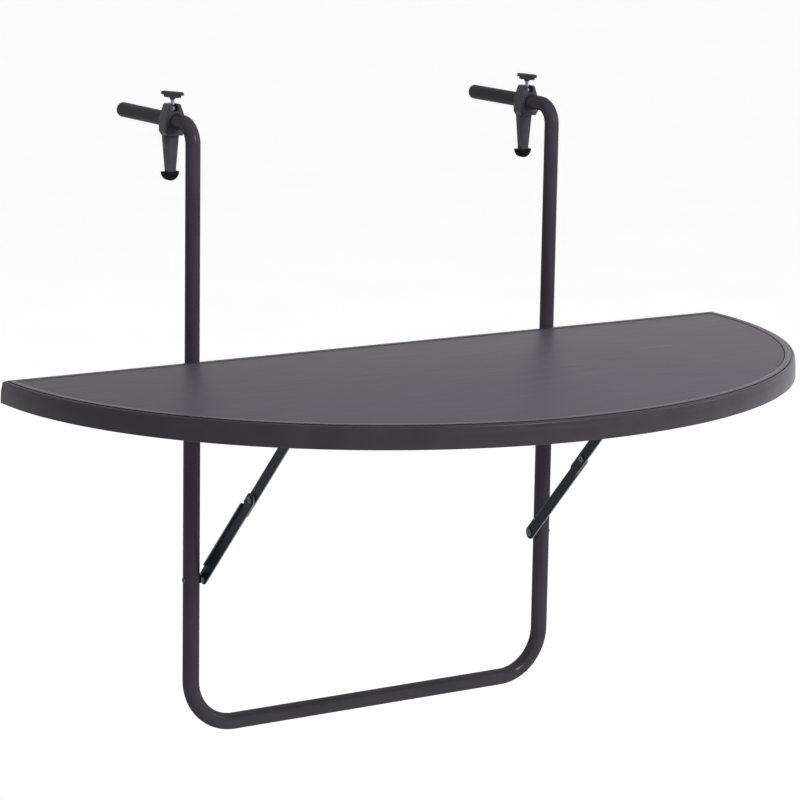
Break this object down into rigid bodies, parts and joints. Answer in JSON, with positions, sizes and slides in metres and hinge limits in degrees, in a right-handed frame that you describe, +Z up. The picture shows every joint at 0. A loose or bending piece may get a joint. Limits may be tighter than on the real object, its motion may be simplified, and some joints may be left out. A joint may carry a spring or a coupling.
{
  "type": "hanging balcony table",
  "caption": "Half-round folding table that hooks over a balcony handrail, with a tube frame, folding braces and sliding rail clamps.",
  "frame": {"origin": "halfway between the hooks, where the handrail's front face (backs of the uprights) meets its top (undersides of the arms)", "axes": "+X along the handrail, to the right for someone at the table; +Y over the handrail, away from the table; +Z up"},
  "size_m": [1, 0.6595, 0.7604],
  "materials": {
    "frame_coat": "dark grey powder coat, semi-gloss",
    "plug_plastic": "moulded, matt",
    "zinc_steel": "bright zinc plate",
    "board": "board faced with a dark grey laminate, satin, fine straight grain",
    "rim_plastic": "moulded dark grey profile, satin",
    "brace_coat": "blue-black coat, semi-gloss",
    "clamp_plastic": "moulded, fine grain",
    "foot_rubber": "matt",
    "pad_nylon": "natural nylon"
  },
  "bodies": {
    "frame": {"frame_tube": "frame_coat", "hook_tube_left": "frame_coat", "hook_tube_right": "frame_coat", "arm_plug_left": "plug_plastic", "arm_plug_right": "plug_plastic", "hinge_bolt_left": "zinc_steel", "hinge_bolt_right": "zinc_steel", "hinge_bush_left": "zinc_steel", "hinge_bush_right": "zinc_steel", "hinge_nut_left": "zinc_steel", "hinge_nut_right": "zinc_steel", "lower_pivot_rivet_left": "zinc_steel", "lower_pivot_rivet_right": "zinc_steel", "lower_pivot_bush_left": "zinc_steel", "lower_pivot_bush_right": "zinc_steel"},
    "table_top": {"table_panel": "board", "front_rim": "rim_plastic", "back_rim": "rim_plastic", "support_rail_left": "brace_coat", "support_rail_right": "brace_coat", "rail_screws_left": "zinc_steel", "rail_screws_right": "zinc_steel", "upper_pivot_rivet_left": "zinc_steel", "upper_pivot_rivet_right": "zinc_steel"},
    "lower_brace_left": {"lower_link_left": "brace_coat", "knuckle_outer_left": "zinc_steel"},
    "upper_brace_left": {"upper_link_left": "brace_coat", "knuckle_inner_left": "zinc_steel"},
    "clamp_left": {"clamp_jaw_left": "clamp_plastic", "jaw_foot_left": "foot_rubber", "clamp_nut_left": "zinc_steel"},
    "screw_pad_left": {"pressure_pad_left": "pad_nylon"},
    "thumb_screw_left": {"clamp_screw_left": "zinc_steel", "clamp_knob_left": "clamp_plastic"},
    "lower_brace_right": {"lower_link_right": "brace_coat", "knuckle_outer_right": "zinc_steel"},
    "upper_brace_right": {"upper_link_right": "brace_coat", "knuckle_inner_right": "zinc_steel"},
    "clamp_right": {"clamp_jaw_right": "clamp_plastic", "jaw_foot_right": "foot_rubber", "clamp_nut_right": "zinc_steel"},
    "screw_pad_right": {"pressure_pad_right": "pad_nylon"},
    "thumb_screw_right": {"clamp_screw_right": "zinc_steel", "clamp_knob_right": "clamp_plastic"}
  },
  "joints": [
    {"name": "table_fold", "type": "hinge", "parent": "frame", "child": "table_top", "pos_m": [0, -0.00875, -0.30325], "axis": [1, 0, 0], "range_deg": [0, 90]},
    {"name": "lower_brace_swing_left", "type": "hinge", "parent": "frame", "child": "lower_brace_left", "pos_m": [-0.2335, -0.00875, -0.52675], "axis": [1, 0, 0], "range_deg": [-43.33, 0.05]},
    {"name": "upper_brace_swing_left", "type": "hinge", "parent": "table_top", "child": "upper_brace_left", "pos_m": [-0.2312, -0.21925, -0.30325], "axis": [1, 0, 0], "range_deg": [-0.05, 46.77]},
    {"name": "clamp_slide_left", "type": "slide", "parent": "frame", "child": "clamp_left", "axis": [0, 1, 0], "range_m": [-0.014, 0.105]},
    {"name": "screw_lift_left", "type": "slide", "parent": "clamp_left", "child": "screw_pad_left", "axis": [0, 0, 1], "range_m": [0, 0.00201]},
    {"name": "screw_turn_left", "type": "hinge", "parent": "screw_pad_left", "child": "thumb_screw_left", "pos_m": [-0.25, 0.04075, 0.02875], "axis": [0, 0, 1], "range_deg": [0, 900]},
    {"name": "lower_brace_swing_right", "type": "hinge", "parent": "frame", "child": "lower_brace_right", "pos_m": [0.2335, -0.00875, -0.52675], "axis": [1, 0, 0], "range_deg": [-43.33, 0.05]},
    {"name": "upper_brace_swing_right", "type": "hinge", "parent": "table_top", "child": "upper_brace_right", "pos_m": [0.2312, -0.21925, -0.30325], "axis": [1, 0, 0], "range_deg": [-0.05, 46.77]},
    {"name": "clamp_slide_right", "type": "slide", "parent": "frame", "child": "clamp_right", "axis": [0, 1, 0], "range_m": [-0.02, 0.099]},
    {"name": "screw_lift_right", "type": "slide", "parent": "clamp_right", "child": "screw_pad_right", "axis": [0, 0, 1], "range_m": [0, 0.00201]},
    {"name": "screw_turn_right", "type": "hinge", "parent": "screw_pad_right", "child": "thumb_screw_right", "pos_m": [0.25, 0.04675, 0.02875], "axis": [0, 0, 1], "range_deg": [0, 900]}
  ],
  "couplings": [
    {"joint": "lower_brace_swing_left", "follows": "table_fold", "ratio": -0.48094},
    {"joint": "upper_brace_swing_left", "follows": "table_fold", "ratio": 0.51906},
    {"joint": "screw_lift_left", "follows": "screw_turn_left", "m_per_rad": 0.00012732},
    {"joint": "lower_brace_swing_right", "follows": "table_fold", "ratio": -0.48094},
    {"joint": "upper_brace_swing_right", "follows": "table_fold", "ratio": 0.51906},
    {"joint": "screw_lift_right", "follows": "screw_turn_right", "m_per_rad": 0.00012732}
  ]
}
